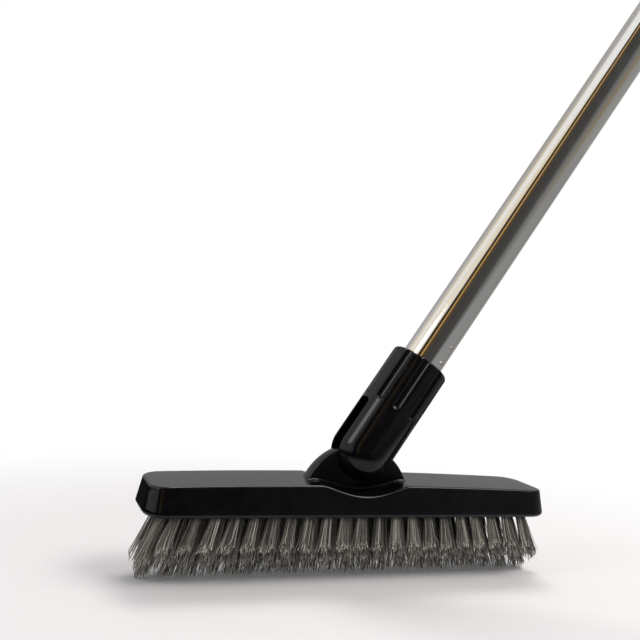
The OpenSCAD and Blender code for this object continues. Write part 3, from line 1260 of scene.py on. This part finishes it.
# What gloss sees round the horizon from -X by way of -Y: pale walls, a dark gap, a warm strip
WALLS: list[tuple[float, float | Colour]] = [
    (0.0, 1.0), (0.08, 1.0), (0.094, (0.035, 0.03, 0.026)), (0.128, (0.03, 0.025, 0.018)),
    (0.14, (0.75, 0.54, 0.26)), (0.15, (0.5, 0.33, 0.13)), (0.166, (0.1, 0.075, 0.05)),
    (0.215, (0.06, 0.055, 0.05)), (0.295, 0.07), (0.325, 0.17), (0.38, (0.3, 0.29, 0.27)),
    (0.49, (0.33, 0.33, 0.32)), (0.6, 0.36), (0.66, (0.42, 0.42, 0.43)),
    (0.72, (0.5, 0.5, 0.51)), (0.77, (0.42, 0.42, 0.43)), (0.83, 0.6), (0.875, 1.0), (1.0, 1.0)]


@dataclass(frozen=True)
class Lamp:
    """A soft area light, in metres and watts, that faces the head."""

    name: str
    place: Place
    size: Span
    power: float
    target: Place = (0.0, 0.0, 0.08)

    def hang(self) -> None:
        """Hangs the light."""
        data = bpy.data.lights.new(self.name, "AREA")
        data.shape = "RECTANGLE"
        data.size, data.size_y = self.size
        data.energy = self.power
        obj = bpy.data.objects.new(self.name, data)
        obj.location = self.place
        facing = Vector(self.target) - Vector(self.place)
        obj.rotation_euler = facing.to_track_quat("-Z", "Y").to_euler()
        bpy.context.scene.collection.objects.link(obj)


@dataclass
class Studio:
    """The pale floor, the soft lights, the surroundings and the camera."""

    yaw: float = 21.44
    pitch: float = 1.26
    roll: float = 5.6
    focal_px: float = 823.5
    frame_px: float = 640.0
    sensor: float = 36.0
    clip: Span = (0.02, 50.0)
    aim: Place = (-27.2, 0.0, 126.13)
    distance: float = 405.25
    floor_half: float = 6.0
    floor_oval: Place = (1.0, 1.35, 0.0)
    floor_fade: Span = (0.16, 0.42)
    gloss_fade: Span = (0.13, 0.25)
    dusk_reach: Span = (0.05, 0.3)
    dusk: Span = (0.02, 0.3)
    lamps: tuple[Lamp, ...] = (
        Lamp("left_strip", (-1.02, -0.16, 0.87), (0.3, 0.5), 2.2),
        Lamp("right_top", (0.62, -0.4, 1.1), (0.8, 0.5), 9.0),
        Lamp("back", (0.3, 0.5, 1.3), (0.6, 0.4), 8.0))

    def floor(self) -> None:
        """Lays the floor and gives it its material."""
        e = self.floor_half
        mesh = bpy.data.meshes.new("floor")
        mesh.from_pydata([(-e, -e, 0), (e, -e, 0), (e, e, 0), (-e, e, 0)], [], [(0, 1, 2, 3)])
        obj = bpy.data.objects.new("floor", mesh)
        bpy.context.scene.collection.objects.link(obj)
        mat, kit, where = blank_material("pale_floor")
        noise = kit.add("TexNoise", Vector=where, Scale=3.0, Detail=3.0)
        colour = kit.mix(noise.outputs[0], (0.74, 0.705, 0.695), (0.79, 0.755, 0.745))
        plain = kit.add("BsdfPrincipled", Base_Color=colour, Roughness=0.6)
        kit.surface(self.fade(kit, where, plain))
        obj.data.materials.append(mat)

    def fade(self, kit: NodeKit, where: Socket, shader: Node) -> Node:
        """Lets the floor end away from the object: in white for the camera, in dusk for gloss.

        Args:
            kit: The floor's nodes.
            where: Its object coordinates.
            shader: Its plain shader, which stays near the object and takes the shadow.

        Returns:
            The shader of the whole floor.
        """
        oval = kit.add("VectorMath", operation="MULTIPLY", _0=where, _1=self.floor_oval)
        reach = kit.add("VectorMath", operation="LENGTH", _0=oval.outputs[0]).outputs["Value"]
        beside = kit.add("SeparateXYZ", _0=where).outputs["X"]
        (start, end), (low, high) = self.dusk_reach, self.dusk
        level = kit.add("MapRange", Value=beside, From_Min=start, From_Max=end, To_Min=low,
                        To_Max=high)
        white = kit.add("Emission", Color=rgba(1.0), Strength=1.0)
        dusk = kit.add("Emission", Strength=level.outputs[0])
        light = kit.add("LightPath").outputs
        for ray, beyond, (near, far) in (("Is Glossy Ray", dusk, self.gloss_fade),
                                         ("Is Camera Ray", white, self.floor_fade)):
            away = kit.add("MapRange", interpolation_type="SMOOTHSTEP", Value=reach,
                           From_Min=near, From_Max=far)
            share = kit.add("Math", operation="MULTIPLY", _0=away.outputs[0], _1=light[ray])
            shader = kit.add("MixShader", _0=share.outputs[0], _1=shader.outputs[0],
                             _2=beyond.outputs[0])
        return shader

    def surroundings(self) -> None:
        """Sets the world: plain light for the object, white for the camera, walls for gloss."""
        world = bpy.data.worlds.new("studio")
        bpy.context.scene.world = world
        world.use_nodes = True
        world.node_tree.nodes.clear()
        kit = NodeKit(world.node_tree)
        split = kit.add("SeparateXYZ", _0=kit.add("TexCoord").outputs["Generated"]).outputs
        angle = kit.add("Math", operation="ARCTAN2", _0=split["Y"], _1=split["X"])
        share = kit.add("MapRange", Value=angle.outputs[0], From_Min=-math.pi, From_Max=math.pi)
        plain = kit.add("Background", Color=(0.93, 0.96, 1.0, 1.0), Strength=0.45)
        gloss = kit.add("Background", Color=kit.ramp(share.outputs[0], WALLS), Strength=1.0)
        white = kit.add("Background", Color=rgba(1.0), Strength=1.0)
        light = kit.add("LightPath").outputs
        seen = kit.add("Math", operation="MAXIMUM", _0=light["Is Camera Ray"],
                       _1=light["Is Transmission Ray"])
        first = kit.add("MixShader", _0=light["Is Glossy Ray"], _1=plain.outputs[0],
                        _2=gloss.outputs[0])
        second = kit.add("MixShader", _0=seen.outputs[0], _1=first.outputs[0],
                         _2=white.outputs[0])
        kit.add("OutputWorld", Surface=second.outputs[0])

    def camera(self) -> None:
        """Sets the camera from its yaw, pitch, roll, distance and focal length in pixels."""
        w, e, r = (math.radians(v) for v in (self.yaw, self.pitch, self.roll))
        back = Vector((-math.sin(w) * math.cos(e), -math.cos(w) * math.cos(e), math.sin(e)))
        place = (Vector(self.aim) + back * self.distance) * MM
        level = (-back).cross(Vector((0, 0, 1))).normalized()
        upright = level.cross(-back)
        right = math.cos(r) * level + math.sin(r) * upright
        up = -math.sin(r) * level + math.cos(r) * upright
        data = bpy.data.cameras.new("camera")
        data.sensor_width = self.sensor
        data.lens = self.focal_px * self.sensor / self.frame_px
        data.clip_start, data.clip_end = self.clip
        obj = bpy.data.objects.new("camera", data)
        turn = Matrix((right, up, back)).transposed()
        obj.matrix_world = Matrix.Translation(place) @ turn.to_4x4()
        bpy.context.scene.collection.objects.link(obj)
        bpy.context.scene.camera = obj

    def build(self) -> None:
        """Sets up the whole studio."""
        self.floor()
        self.surroundings()
        for lamp in self.lamps:
            lamp.hang()
        self.camera()
        bpy.context.scene.view_settings.view_transform = "Standard"


def main() -> None:
    """Builds the studio, then the brush from its head to its grip."""
    logging.basicConfig(level=logging.INFO, format="%(message)s")
    dresser = Dresser()
    Studio().build()
    for assembly in (BrushBlock(), BristleField(), SwivelSocket(), PoleTube(), HandGrip()):
        assembly.build(dresser)
    dresser.redress("tuft_anchors", Finish.ANCHOR_WIRE)
    dresser.redress("pivot_pin", Finish.PIN_STEEL)
    dresser.redress("pole_plug", Finish.DARK_PLASTIC)


if __name__ == "__main__":
    main()
